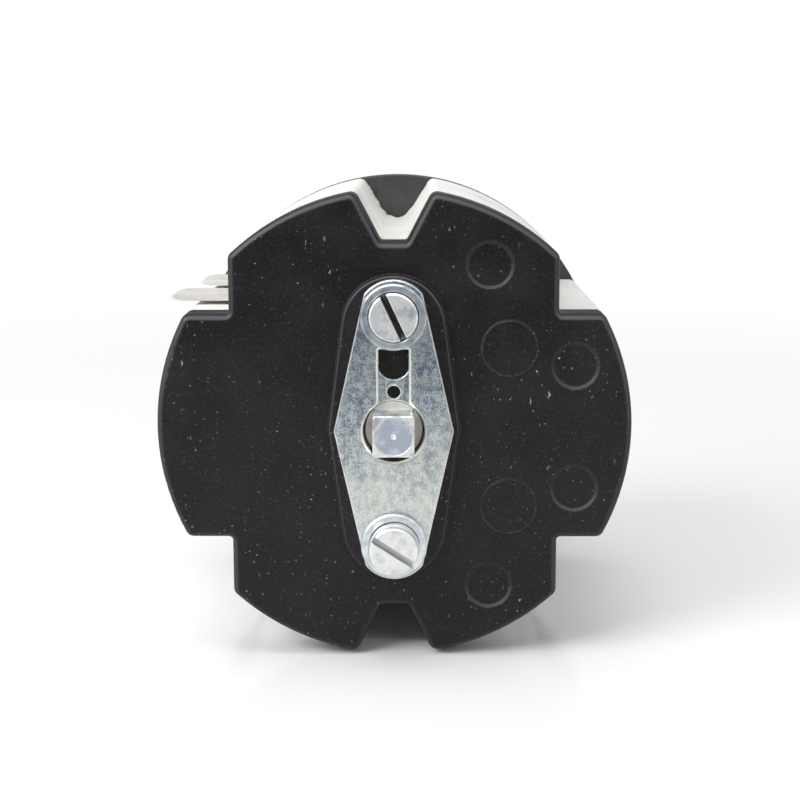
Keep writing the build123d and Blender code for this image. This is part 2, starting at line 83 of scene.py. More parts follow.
class Tree:
    """The node tree of a material or a world, with short calls for the nodes used here."""

    def __init__(self, owner, output="ShaderNodeOutputMaterial"):
        self.owner = owner
        owner.use_nodes = True
        self.nodes = owner.node_tree.nodes
        self.links = owner.node_tree.links
        self.nodes.clear()
        self.output = self.nodes.new(output)

    def add(self, kind, inputs=None, **settings):
        node = self.nodes.new(kind)
        for key, value in settings.items():
            setattr(node, key, value)
        for key, value in (inputs or {}).items():
            self.put(node.inputs[key], value)
        return node

    def put(self, socket, value):
        if isinstance(value, bpy.types.NodeSocket):
            self.links.new(value, socket)
        else:
            socket.default_value = value

    def surface(self, shader):
        """Make the shader the tree's result."""
        self.links.new(shader.outputs[0], self.output.inputs[0])
        return self.owner

    def finish(self, **inputs):
        """Make a Principled shader with these inputs the tree's result."""
        shader = self.add("ShaderNodeBsdfPrincipled")
        for key, value in inputs.items():
            self.put(shader.inputs[key.replace("_", " ")], value)
        return self.surface(shader)

    def math(self, operation, first, second=0.0, third=None, clamp=False):
        node = self.add("ShaderNodeMath", {0: first, 1: second}, operation=operation, use_clamp=clamp)
        if third is not None:
            self.put(node.inputs[2], third)
        return node.outputs[0]

    def times(self, first, second):
        return self.math("MULTIPLY", first, second)

    def times_add(self, value, factor, term):
        return self.math("MULTIPLY_ADD", value, factor, term)

    def larger(self, first, second):
        return self.math("MAXIMUM", first, second)

    def span(self, first, second):
        """Distance from the origin of two coordinates."""
        squares = self.math("ADD", self.math("POWER", first, 2.0), self.math("POWER", second, 2.0))
        return self.math("SQRT", squares)

    def ramp(self, value, low, high, to_low=0.0, to_high=1.0):
        """Smooth step of value from low to high."""
        node = self.add(
            "ShaderNodeMapRange",
            {"Value": value, "From Min": low, "From Max": high, "To Min": to_low, "To Max": to_high},
            interpolation_type="SMOOTHSTEP",
        )
        return node.outputs[0]

    def mix(self, share, first, second):
        """Colour that goes from first to second as share goes from 0 to 1."""
        node = self.add("ShaderNodeMix", data_type="RGBA")
        self.put(node.inputs[0], share)
        self.put(node.inputs[6], first)
        self.put(node.inputs[7], second)
        return node.outputs[2]

    def axes(self, vector):
        return self.add("ShaderNodeSeparateXYZ", {0: vector}).outputs

    def normal_axes(self):
        """Parts of the surface direction in the object's own axes."""
        return self.axes(self.add("ShaderNodeTexCoord").outputs["Normal"])

    def place(self, scale=(1, 1, 1), offset=(0, 0, 0)):
        """Object coordinates, in metres, moved and stretched."""
        coordinates = self.add("ShaderNodeTexCoord").outputs["Object"]
        mapped = self.add(
            "ShaderNodeMapping", {"Vector": coordinates, "Location": offset, "Scale": scale})
        return mapped.outputs[0]

    def turn(self, vector, rotation, scale):
        mapped = self.add("ShaderNodeMapping", {"Vector": vector, "Rotation": rotation, "Scale": scale})
        return mapped.outputs[0]

    def flat(self, vector):
        """The same place seen along Y, with X and Z as the two coordinates."""
        parts = self.axes(vector)
        return self.add("ShaderNodeCombineXYZ", {0: parts[0], 1: parts[2]}).outputs[0]

    def noise(self, vector, scale, detail=3.0, roughness=0.55):
        node = self.add(
            "ShaderNodeTexNoise",
            {"Vector": vector, "Scale": scale, "Detail": detail, "Roughness": roughness},
        )
        return node.outputs["Fac"]

    def specks(self, vector, scale, size, share, dimensions="3D"):
        """Small soft spots in a share of the cells of a Voronoi pattern."""
        cells = self.add(
            "ShaderNodeTexVoronoi", {"Vector": vector, "Scale": scale, "Randomness": 1.0},
            voronoi_dimensions=dimensions)
        chance = self.add("ShaderNodeSeparateColor", {0: cells.outputs["Color"]}).outputs
        lit = self.math("LESS_THAN", chance[0], share)
        radius = self.times_add(chance[1], size * SPECK_RANGE, size * SPECK_LEAST)
        near = self.math("SUBTRACT", radius, cells.outputs["Distance"])
        soft = self.ramp(near, -0.02, 0.06)
        strength = self.ramp(chance[2], 0.0, 1.0, to_low=SPECK_FAINTEST)
        return self.times(self.times(soft, lit), strength)

    def warp(self, vector, scale, reach):
        """The same place pushed about by noise, up to a reach in metres."""
        noise = self.add("ShaderNodeTexNoise", {"Vector": vector, "Scale": scale, "Detail": 2.0})
        centred = self.add(
            "ShaderNodeVectorMath", {0: noise.outputs["Color"], 1: (0.5, 0.5, 0.5)}, operation="SUBTRACT")
        pushed = self.add(
            "ShaderNodeVectorMath", {0: centred.outputs[0], 1: (reach, reach, reach), 2: vector},
            operation="MULTIPLY_ADD")
        return pushed.outputs[0]

    def crevice(self, distance, open_from=0.75, shut_from=0.25):
        """1 deep in a slot or corner of the same piece, 0 on open faces."""
        open_share = self.add(
            "ShaderNodeAmbientOcclusion", {"Distance": distance}, only_local=True, samples=AO_SAMPLES)
        return self.ramp(open_share.outputs["AO"], open_from, shut_from)

    def soft_edge(self, radius):
        """Surface direction with the sharp edges rounded off."""
        return self.add("ShaderNodeBevel", {"Radius": radius}, samples=BEVEL_SAMPLES).outputs[0]

    def edge(self, rounded):
        """1 along the edges that the rounded surface direction softens, 0 on open faces."""
        straight = self.add("ShaderNodeNewGeometry").outputs["Normal"]
        agreement = self.add("ShaderNodeVectorMath", {0: rounded, 1: straight}, operation="DOT_PRODUCT")
        return self.ramp(agreement.outputs["Value"], EDGE_OPEN, EDGE_WORN)

    def bump(self, height, distance, strength, after=None):
        node = self.add("ShaderNodeBump", {"Height": height, "Distance": distance, "Strength": strength})
        if after is not None:
            self.links.new(after, node.inputs["Normal"])
        return node.outputs[0]


def material_tree(name):
    return Tree(bpy.data.materials.new(name))


# Black moulding

BLACK_CLOUD_LIFT = 1.55
BLACK_BLOOM = paint(0.040, 0.036, 0.040)
# Colour of the edges: partly edge wear, partly a painted highlight
BLACK_EDGE_WEAR_AND_HIGHLIGHT = grey(0.16)
BLACK_EDGE_RADIUS = 0.35 * MM
# Painted highlight on the fillets, strongest where they face up
BLACK_FILLET_HIGHLIGHT = paint(0.085, 0.083, 0.086)
# Painted shade on the side faces
BLACK_SIDE_SHADE = grey(0.003)
BLACK_SIDE_SHADE_SHARE = 0.6
BLACK_GLOSS_LEAST, BLACK_GLOSS_RANGE = 0.02, 0.21
DUST = paint(0.46, 0.45, 0.44)
DUST_ROUGHENS = 0.3
DUST_PUSH = 0.55 * MM
FINE_DUST_SHARE = 0.55
FINE_DUST = {"scale": 1900, "size": 0.17, "share": 0.16}
COARSE_DUST = ({"scale": 780, "size": 0.085, "share": 0.09}, {"scale": 240, "size": 0.035, "share": 0.09})
LINT = {"scale": 640, "size": 0.075, "share": 0.07}
LINT_TURNS = (38, -52)
LINT_STRETCH = (1.0, 0.28, 1.0)
SIDE_DUST = {"scale": 700, "size": 0.12, "share": 0.18}


def moulded_black(name, base, dust):
    """Matt moulded plastic: fine grain, cloudy wear, pale dust, painted edge and fillet highlights, painted
    side shade.
    """
    tree = material_tree(name)
    place = tree.place()
    cloud = tree.noise(place, scale=140, detail=4.0)
    grain = tree.noise(place, scale=5200, detail=2.0)
    fine = tree.noise(place, scale=3000, detail=4.0, roughness=0.65)
    patch = tree.noise(place, scale=95)
    faded = paint(*(channel * BLACK_CLOUD_LIFT for channel in base[:3]))
    colour = tree.mix(tree.ramp(cloud, 0.35, 0.7), base, faded)
    colour = tree.mix(tree.times(tree.ramp(fine, 0.45, 0.75), 0.5), colour, BLACK_BLOOM)

    # How far the surface faces along Y: 1 on the flat faces, 0 on the rim
    normal = tree.normal_axes()
    facing = tree.math("ABSOLUTE", normal[1])

    flat = tree.warp(tree.flat(place), scale=2600, reach=DUST_PUSH)
    dirt = tree.times(tree.specks(flat, dimensions="2D", **FINE_DUST), FINE_DUST_SHARE)
    for grade in COARSE_DUST:
        dirt = tree.larger(dirt, tree.specks(flat, dimensions="2D", **grade))
    for degrees in LINT_TURNS:
        slanted = tree.turn(flat, (0.0, 0.0, math.radians(degrees)), LINT_STRETCH)
        dirt = tree.larger(dirt, tree.specks(slanted, dimensions="2D", **LINT))
    dirt = tree.times(dirt, tree.ramp(facing, 0.6, 0.8))
    dirt = tree.larger(dirt, tree.specks(place, **SIDE_DUST))
    dirt = tree.times(tree.times(dirt, tree.ramp(patch, 0.38, 0.60, to_low=0.15)), dust)
    colour = tree.mix(dirt, colour, DUST)

    rounded = tree.soft_edge(BLACK_EDGE_RADIUS)
    # Edges lighter: partly edge wear, partly a painted highlight
    edge_wear_and_highlight = tree.times(tree.edge(rounded), tree.ramp(fine, 0.35, 0.65, to_low=0.10, to_high=0.40))
    colour = tree.mix(edge_wear_and_highlight, colour, BLACK_EDGE_WEAR_AND_HIGHLIGHT)
    # Painted highlight on the fillets between the faces and the rim, strongest where they face up
    fillet_highlight = tree.times(tree.ramp(facing, 0.55, 0.80), tree.ramp(facing, 0.992, 0.93))
    fillet_highlight = tree.times(fillet_highlight, tree.ramp(normal[2], -0.3, 0.5, to_low=0.15, to_high=0.9))
    colour = tree.mix(fillet_highlight, colour, BLACK_FILLET_HIGHLIGHT)
    # Painted shade: the side faces darker than the flat faces
    colour = tree.mix(tree.ramp(facing, 0.25, 0.05, to_high=BLACK_SIDE_SHADE_SHARE), colour, BLACK_SIDE_SHADE)

    gloss = tree.times_add(tree.ramp(facing, 0.2, 0.5), BLACK_GLOSS_RANGE, BLACK_GLOSS_LEAST)
    rough = tree.ramp(cloud, 0.3, 0.75, to_low=0.34, to_high=0.48)
    rough = tree.math("ADD", rough, tree.times(dirt, DUST_ROUGHENS), clamp=True)
    bumps = tree.bump(grain, distance=0.02 * MM, strength=0.30, after=rounded)
    bumps = tree.bump(fine, distance=0.03 * MM, strength=0.20, after=bumps)
    return tree.finish(Base_Color=colour, Roughness=rough, Specular_IOR_Level=gloss, Normal=bumps)


# White moulding

CREAM, CREAM_DULL = paint(0.86, 0.855, 0.83), paint(0.79, 0.78, 0.745)
CREAM_STREAK = paint(0.66, 0.65, 0.60)
CREAM_SPOT = paint(0.28, 0.25, 0.21)
# Painted shade deep in slots and corners
CREAM_CREVICE_SHADE = paint(0.05, 0.045, 0.035)
CREAM_CREVICE_DEPTH = 1.2 * MM
CREAM_EDGE_RADIUS = 0.2 * MM
CREAM_GLOSS = 0.35
LAYER_STRETCH = (1, 9, 1)


def moulded_white(name):
    """Off-white moulded plastic, a little uneven, with faint layer lines and painted shade in its slots."""
    tree = material_tree(name)
    place = tree.place()
    cloud = tree.noise(place, scale=120, detail=4.0)
    grain = tree.noise(place, scale=3600, detail=2.0)
    streak = tree.noise(tree.place(scale=LAYER_STRETCH), scale=160)
    colour = tree.mix(tree.ramp(cloud, 0.3, 0.75), CREAM, CREAM_DULL)
    colour = tree.mix(tree.times(tree.ramp(streak, 0.52, 0.72), 0.4), colour, CREAM_STREAK)
    spots = tree.specks(place, scale=500, size=0.06, share=0.05)
    colour = tree.mix(tree.times(spots, 0.6), colour, CREAM_SPOT)
    # Painted shade deep in slots and corners of the same piece
    colour = tree.mix(tree.crevice(CREAM_CREVICE_DEPTH), colour, CREAM_CREVICE_SHADE)
    rough = tree.ramp(cloud, 0.3, 0.75, to_low=0.42, to_high=0.55)
    bumps = tree.bump(grain, distance=0.02 * MM, strength=0.3, after=tree.soft_edge(CREAM_EDGE_RADIUS))
    bumps = tree.bump(streak, distance=0.06 * MM, strength=0.3, after=bumps)
    return tree.finish(
        Base_Color=colour, Roughness=rough, Specular_IOR_Level=CREAM_GLOSS, Normal=bumps)


# Zinc sheet

ZINC_COOL_DARK, ZINC_COOL = paint(0.115, 0.160, 0.225), paint(0.585, 0.66, 0.69)
ZINC_WARM_DARK, ZINC_WARM = paint(0.49, 0.525, 0.51), paint(0.74, 0.76, 0.715)
ZINC_SCRATCH = paint(0.84, 0.86, 0.84)
# Painted highlight along the edges and sides, partly edge wear
ZINC_EDGE_WEAR_AND_HIGHLIGHT = paint(0.97, 0.97, 0.90)
ZINC_EDGE_RADIUS = 0.3 * MM
# Painted reflection: the strap goes from darker and bluer above to paler and warmer below between these
# heights
ZINC_DARK_REFLECTION_ABOVE, ZINC_PALE_REFLECTION_BELOW = 4 * MM, -13 * MM
FINE_SPANGLE_SHARE, COARSE_SPANGLE_SHARE = 0.6, 0.4
SCRATCH_TURN = (0.0, 0.7, 0.0)
SCRATCH_STRETCH = (1, 1, 0.06)


def rolled_zinc(name):
    """Zinc-plated sheet: a blue-grey and pale warm grey spangle, hair scratches, a painted reflection darker
    above and paler below, and painted edge highlights.
    """
    tree = material_tree(name)
    place = tree.place()
    fine = tree.noise(place, scale=4800, detail=5.0, roughness=0.72)
    coarse = tree.noise(tree.place(scale=(1.0, 1.0, 0.75)), scale=1100, detail=5.0, roughness=0.68)
    spangle = tree.times_add(fine, FINE_SPANGLE_SHARE, tree.times(coarse, COARSE_SPANGLE_SHARE))
    blotch = tree.noise(tree.place(scale=(1.0, 1.0, 0.7)), scale=300, detail=4.0, roughness=0.6)
    # Painted reflection: darker and bluer above, paler below, by height
    lower_reflection = tree.ramp(tree.axes(place)[2], ZINC_DARK_REFLECTION_ABOVE, ZINC_PALE_REFLECTION_BELOW)
    cool = tree.mix(tree.ramp(spangle, 0.44, 0.575), ZINC_COOL_DARK, ZINC_COOL)
    warm = tree.mix(tree.ramp(spangle, 0.40, 0.575), ZINC_WARM_DARK, ZINC_WARM)
    warm_share = tree.times_add(tree.ramp(blotch, 0.38, 0.62), 0.40, lower_reflection)
    colour = tree.mix(tree.math("MINIMUM", warm_share, 1.0), cool, warm)
    scratch = tree.noise(tree.turn(place, SCRATCH_TURN, SCRATCH_STRETCH), scale=5200, detail=2.0)
    colour = tree.mix(tree.times(tree.ramp(scratch, 0.60, 0.72), 0.5), colour, ZINC_SCRATCH)
    # Edges and side faces painted bright: a painted highlight, partly edge wear
    rounded = tree.soft_edge(ZINC_EDGE_RADIUS)
    side = tree.ramp(tree.math("ABSOLUTE", tree.normal_axes()[1]), 0.97, 0.75)
    edge = tree.larger(tree.edge(rounded), side)
    colour = tree.mix(tree.times(edge, 0.9), colour, ZINC_EDGE_WEAR_AND_HIGHLIGHT)
    rough = tree.ramp(spangle, 0.35, 0.65, to_low=0.42, to_high=0.26)
    bumps = tree.bump(spangle, distance=0.012 * MM, strength=0.5, after=rounded)
    bumps = tree.bump(scratch, distance=0.008 * MM, strength=0.5, after=bumps)
    return tree.finish(Base_Color=colour, Metallic=1.0, Roughness=rough, Normal=bumps)


# Turned metal

STAIN_BLUE = 0.07
TURNED_GLINT = paint(0.88, 0.87, 0.82)
# Edge colour: partly edge wear, partly a painted highlight
TURNED_EDGE_WEAR_AND_HIGHLIGHT = paint(0.95, 0.95, 0.92)
TURNED_EDGE_RADIUS = 0.15 * MM
RING_WAVER = 0.12 * MM
# Painted shade deep in the slots
SLOT_SHADE = paint(0.035, 0.036, 0.034)
SLOT_DEPTH = 2.0 * MM
# Spindle's end: a dull round with a soft border and a bright centre
DULL_DARK, DULL_LIGHT, DULL_SMEAR = paint(0.34, 0.38, 0.48), paint(0.62, 0.66, 0.74), paint(0.80, 0.82, 0.86)
DULL_BORDER = 0.12 * MM
CENTRE_DOT = grey(0.98)
CENTRE_DOT_OUTER, CENTRE_DOT_INNER = 0.42 * MM, 0.18 * MM
# Spindle's round part inside the switch: painted shade, painted light on its upper side and a painted shadow
# below, by world height, between these depths
SUNK_FROM, SUNK_FULL, SUNK_FADES, SUNK_ENDS = 0.9 * MM, 1.3 * MM, 10 * MM, 12 * MM
SUNK_LIGHT, SUNK_DIM, SUNK_DARK = paint(0.82, 0.83, 0.77), paint(0.42, 0.40, 0.36), grey(0.008)
SUNK_DIM_BELOW, SUNK_LIGHT_ABOVE = 1.0 * MM, 2.6 * MM
SUNK_DARK_FROM, SUNK_DARK_BELOW = -2.2 * MM, -2.5 * MM


def turned_metal(name, centre, tint, rough, ring_pitch=0.16, slot_shade_share=1.0, stain=0.5, face=None):
    """Bright turned metal: fine rings about an axis along Y, smeared plating, small nicks, painted glints
    and painted edge highlights.

    face is the depth and radius of a dull turned round on the end. Without it, the slots get painted shade."""
    tree = material_tree(name)
    place = tree.place(offset=(-centre[0], 0.0, -centre[1]))
    across, depth, rise = tree.axes(place)
    radius = tree.span(across, rise)
    smear = tree.noise(place, scale=620, detail=4.0, roughness=0.6)
    fine = tree.noise(place, scale=3800)
    wavering = tree.times_add(fine, RING_WAVER, radius)
    rings = tree.math("SINE", tree.times(wavering, 2 * math.pi / (ring_pitch * MM)))
    stained = paint(tint[0] * stain, tint[1] * stain, tint[2] * (stain + STAIN_BLUE))
    colour = tree.mix(tree.ramp(smear, 0.42, 0.68), tint, stained)
    # Painted glints
    colour = tree.mix(tree.times(tree.ramp(fine, 0.58, 0.75), 0.4), colour, TURNED_GLINT)
    rounded = tree.soft_edge(TURNED_EDGE_RADIUS)
    if face is None:
        # Painted shade deep in the slots of the same piece
        dark = tree.times(tree.crevice(SLOT_DEPTH, open_from=0.80, shut_from=0.45), slot_shade_share)
        colour = tree.mix(dark, colour, SLOT_SHADE)
    else:
        face_depth, face_radius = face
        on_end = tree.math("LESS_THAN", depth, face_depth)
        inside = tree.ramp(radius, face_radius, face_radius - DULL_BORDER)
        dull = tree.mix(tree.ramp(rings, -1.0, 1.0), DULL_DARK, DULL_LIGHT)
        dull = tree.mix(tree.times(tree.ramp(smear, 0.45, 0.65), 0.5), dull, DULL_SMEAR)
        colour = tree.mix(tree.times(on_end, inside), colour, dull)
        # Painted shade on the sunk round part, painted light on its upper side, painted shadow under the
        # square
        sunk = tree.times(
            tree.ramp(depth, SUNK_FROM, SUNK_FULL), tree.ramp(depth, SUNK_ENDS, SUNK_FADES))
        height = tree.axes(tree.add("ShaderNodeNewGeometry").outputs["Position"])[2]
        shade = tree.mix(tree.ramp(height, SUNK_DIM_BELOW, SUNK_LIGHT_ABOVE), SUNK_DIM, SUNK_LIGHT)
        shade = tree.mix(tree.ramp(height, SUNK_DARK_FROM, SUNK_DARK_BELOW), shade, SUNK_DARK)
        colour = tree.mix(sunk, colour, shade)
        colour = tree.mix(tree.ramp(radius, CENTRE_DOT_OUTER, CENTRE_DOT_INNER), colour, CENTRE_DOT)
    # Edges lighter: partly edge wear, partly a painted highlight
    colour = tree.mix(tree.times(tree.edge(rounded), 0.7), colour, TURNED_EDGE_WEAR_AND_HIGHLIGHT)
    bumps = tree.bump(rings, distance=0.008 * MM, strength=0.4, after=rounded)
    bumps = tree.bump(fine, distance=0.010 * MM, strength=0.4, after=bumps)
    return tree.finish(
        Base_Color=colour, Metallic=1.0, Roughness=tree.ramp(smear, 0.3, 0.7, *rough), Normal=bumps)


# Plain sheet metal and filled plastics

GRAIN_SCALE = 1400
FILLED_GLOSS = 0.4


def sheet_metal(name, light, dark, along=(1, 1, 1), rough=(0.24, 0.42), y_face_highlight=None):
    """Plain rolled or stamped metal with a drawn grain and patchy tarnish; faces along Y can get a painted
    highlight.
    """
    tree = material_tree(name)
    drawn = tree.noise(tree.place(scale=along), GRAIN_SCALE)
    patch = tree.noise(tree.place(), scale=260)
    colour = tree.mix(tree.ramp(patch, 0.35, 0.7), light, dark)
    colour = tree.mix(tree.times(tree.ramp(drawn, 0.45, 0.7), 0.35), colour, dark)
    if y_face_highlight is not None:
        # Painted highlight on the faces along Y
        facing_y = tree.ramp(tree.math("ABSOLUTE", tree.normal_axes()[1]), 0.6, 0.8)
        colour = tree.mix(facing_y, colour, y_face_highlight)
    bumps = tree.bump(drawn, distance=0.012 * MM, strength=0.4)
    return tree.finish(
        Base_Color=colour, Metallic=1.0, Roughness=tree.ramp(drawn, 0.3, 0.7, *rough), Normal=bumps)


def moulded_plain(name, light, dark, speck):
    """Filled phenolic or pressed fibre, flecked with its filler."""
    tree = material_tree(name)
    place = tree.place()
    cloud = tree.noise(place, scale=300, detail=4.0)
    grain = tree.noise(place, scale=2600)
    colour = tree.mix(tree.ramp(cloud, 0.3, 0.7), light, dark)
    flecks = tree.specks(place, scale=1500, size=0.2, share=0.3)
    colour = tree.mix(tree.times(flecks, 0.5), colour, speck)
    rough = tree.ramp(grain, 0.3, 0.7, to_low=0.42, to_high=0.6)
    bumps = tree.bump(grain, distance=0.02 * MM, strength=0.4)
    return tree.finish(
        Base_Color=colour, Roughness=rough, Specular_IOR_Level=FILLED_GLOSS, Normal=bumps)


# Materials of the CAD nodes

SPINDLE_FACE_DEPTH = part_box("spindle")[0].y + 0.3 * MM
SPINDLE_FACE_RADIUS = 2.42 * MM
UPPER_AXIS, LOWER_AXIS = (0.0, STUD_HEIGHT), (0.0, -STUD_HEIGHT)

black_front = moulded_black("black_moulding_front", paint(0.0080, 0.0066, 0.0080), dust=0.85)
black_rear = moulded_black("black_moulding_rear", paint(0.055, 0.054, 0.0555), dust=0.45)
white_moulding = moulded_white("white_moulding")
zinc_strap = rolled_zinc("zinc_strap")
zinc_plain = sheet_metal("zinc_plain", paint(0.68, 0.70, 0.69), paint(0.50, 0.54, 0.54))
spindle_steel = turned_metal(
    "spindle_steel", (0.0, 0.0), paint(0.90, 0.90, 0.88), rough=(0.36, 0.52), ring_pitch=0.2,
    face=(SPINDLE_FACE_DEPTH, SPINDLE_FACE_RADIUS))
# Upper and lower copies: the upper collar darker and bluer, the lower paler, as a painted reflection; the
# lower stud gets less painted slot shade
upper_steel = turned_metal("upper_stud_steel", UPPER_AXIS, paint(0.90, 0.91, 0.90), rough=(0.36, 0.5))
lower_steel = turned_metal(
    "lower_stud_steel", LOWER_AXIS, paint(0.90, 0.91, 0.89), rough=(0.36, 0.5), slot_shade_share=0.22, stain=0.78)
upper_plating = turned_metal(
    "upper_collar_plating", UPPER_AXIS, paint(0.52, 0.58, 0.62), rough=(0.34, 0.42), slot_shade_share=0.3)
lower_plating = turned_metal(
    "lower_collar_plating", LOWER_AXIS, paint(0.80, 0.85, 0.86), rough=(0.36, 0.46), slot_shade_share=0.3, stain=0.7)
spring_steel = sheet_metal(
    "spring_steel", paint(0.56, 0.57, 0.59), paint(0.36, 0.37, 0.40), along=(1, 1, 0.1))
tinned_brass = sheet_metal(
    "tinned_brass", paint(0.68, 0.66, 0.62), paint(0.58, 0.55, 0.51), along=(0.12, 1, 1),
    rough=(0.42, 0.58), y_face_highlight=paint(0.80, 0.79, 0.77))
copper = sheet_metal(
    "copper_bridge", paint(0.78, 0.46, 0.30), paint(0.56, 0.30, 0.19), along=(1, 1, 0.15))
silver = sheet_metal("silver_tip", paint(0.90, 0.90, 0.88), paint(0.70, 0.69, 0.65))
brown_moulding = moulded_plain(
    "brown_moulding", paint(0.14, 0.060, 0.032), paint(0.085, 0.038, 0.022), paint(0.22, 0.12, 0.07))
fibre = moulded_plain(
    "fibre", paint(0.36, 0.13, 0.075), paint(0.28, 0.095, 0.055), paint(0.44, 0.20, 0.12))

materials = {
    "front_housing": black_front,
    "rear_cover": black_rear,
    "wafer_front": white_moulding,
    "wafer_rear": white_moulding,
    "fixing_strap": zinc_strap,
    "index_tongue": zinc_strap,
    "spindle": spindle_steel,
    "retaining_clip": spring_steel,
    "stop_disc": spring_steel,
    "detent_cam": spring_steel,
    "detent_spring_left": spring_steel,
    "detent_spring_right": spring_steel,
}
stud_looks = (("upper", upper_steel, upper_plating), ("lower", lower_steel, lower_plating))
for place_name, steel, plating in stud_looks:
    materials[f"{place_name}_collar"] = plating
    materials[f"{place_name}_stud"] = steel
    materials[f"{place_name}_washer"] = zinc_plain
    materials[f"{place_name}_nut"] = zinc_plain
for place_name in ("front", "rear"):
    materials[f"barrier_disc_{place_name}"] = fibre
    materials[f"rotor_base_{place_name}"] = brown_moulding
    materials[f"rotor_cap_{place_name}"] = brown_moulding
    materials[f"contact_bridge_{place_name}"] = copper
    materials[f"bridge_tips_{place_name}"] = silver
    for end in ("line", "load"):
        materials[f"terminal_{place_name}_{end}"] = tinned_brass
        materials[f"fixed_tip_{place_name}_{end}"] = silver
for node_name, node in nodes.items():
    node.data.materials.clear()
    node.data.materials.append(materials[node_name])


def place_mesh(name, mesh, material):
    """Object in the scene from a finished bmesh, which is freed."""
    data = bpy.data.meshes.new(name)
    mesh.to_mesh(data)
    mesh.free()
    data.materials.append(material)
    item = bpy.data.objects.new(name, data)
    scene.collection.objects.link(item)
    return item


def loft(name, rows, material):
    """Closed piece with a skin through the rows, each one a ring of points."""
    mesh = bmesh.new()
    rings = [[mesh.verts.new(point) for point in row] for row in rows]
    count = len(rings[0])
    for first, second in zip(rings, rings[1:]):
        for k in range(count):
            n = (k + 1) % count
            mesh.faces.new((first[k], first[n], second[n], second[k]))
    mesh.faces.new(rings[0][::-1])
    mesh.faces.new(rings[-1])
    bmesh.ops.recalc_face_normals(mesh, faces=mesh.faces)
    return place_mesh(name, mesh, material)


# Thread ridges on the bare ends of the studs

THREAD_PITCH = 1.0 * MM
THREAD_HEIGHT = 0.14 * MM
THREAD_ROOT = -0.02 * MM
THREAD_STEPS = 48
THREAD_FADE_STEPS = THREAD_STEPS / 3
THREAD_HALF_WIDTH = 0.36 * THREAD_PITCH
THREAD_LEAST_WIDTH = 0.05
THREAD_CREST = 0.18
REAR_THREAD_START, REAR_THREAD_END = 47.75 * MM, 48.45 * MM
FRONT_THREAD_START, FRONT_THREAD_END = -2.15 * MM, -0.85 * MM


def thread(name, stud, start, end, material):
    """Helical ridge round a stud between two depths, fading out at both ends."""
    box_low, box_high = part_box(stud)
    centre = (box_low + box_high) / 2
    stud_radius = (box_high.x - box_low.x) / 2
    count = int((end - start) / THREAD_PITCH * THREAD_STEPS)
    rows = []
    for step in range(count + 1):
        angle = 2 * math.pi * step / THREAD_STEPS
        depth = start + THREAD_PITCH * step / THREAD_STEPS
        fade = min(1.0, step / THREAD_FADE_STEPS, (count - step) / THREAD_FADE_STEPS)
        half = THREAD_HALF_WIDTH * max(fade, THREAD_LEAST_WIDTH)
        crest = THREAD_HEIGHT * fade
        profile = ((-half, THREAD_ROOT), (-THREAD_CREST * half, crest),
                   (THREAD_CREST * half, crest), (half, THREAD_ROOT))
        row = []
        for along, rise in profile:
            radius = stud_radius + rise
            row.append((
                centre.x + radius * math.cos(angle), depth + along, centre.z + radius * math.sin(angle)))
        rows.append(row)
    piece = loft(name, rows, material)
    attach(piece, "case")


thread("lower_thread_front", "lower_stud", FRONT_THREAD_START, FRONT_THREAD_END, lower_steel)
thread("lower_thread_rear", "lower_stud", REAR_THREAD_START, REAR_THREAD_END, lower_steel)
thread("upper_thread_rear", "upper_stud", REAR_THREAD_START, REAR_THREAD_END, upper_steel)


# Moulding flash in the top notch: a ramp on the rear wafer that ends in a wavering edge

FLASH_FRONT = 27.0 * MM
FLASH_BACK = 37.1 * MM
FLASH_STEPS = 8
FLASH_WAVER = 0.035
FLASH_FAST_WAVE, FLASH_SLOW_WAVE, FLASH_SLOW_START = 1.3, 0.47, 1.0
# Free edge (x, z) and the root inside the wafer (x, z), in mm, from left to right
FLASH_COURSE = (
    ((-4.45, 28.00), (-4.60, 28.00)),
    ((-3.70, 27.05), (-4.05, 27.05)),
    ((-3.30, 26.10), (-3.55, 26.10)),
    ((-2.70, 25.30), (-3.15, 25.30)),
    ((-2.37, 24.50), (-2.75, 24.50)),
    ((-1.80, 23.85), (-2.40, 23.85)),
    ((-1.35, 23.35), (-1.95, 22.90)),
    ((-0.70, 23.15), (-0.90, 22.45)),
    ((0.00, 22.92), (0.00, 22.45)),
    ((0.60, 23.02), (0.70, 22.45)),
    ((1.20, 23.35), (1.70, 22.50)),
    ((1.75, 24.00), (2.35, 23.60)),
    ((2.40, 24.75), (2.85, 24.60)),
    ((3.28, 26.20), (3.65, 26.20)),
    ((4.40, 27.90), (4.55, 27.90)),
)


def through(points, steps):
    """Smooth course through the points (Catmull-Rom)."""
    points = [Vector(point) for point in points]
    ends = [2 * points[0] - points[1]] + points + [2 * points[-1] - points[-2]]
    course = []
    for a, b, c, d in zip(ends, ends[1:], ends[2:], ends[3:]):
        for step in range(steps):
            t = step / steps
            course.append(0.5 * (2 * b + (c - a) * t + (2 * a - 5 * b + 4 * c - d) * t ** 2
                                 + (3 * b - a - 3 * c + d) * t ** 3))
    return course + [points[-1]]


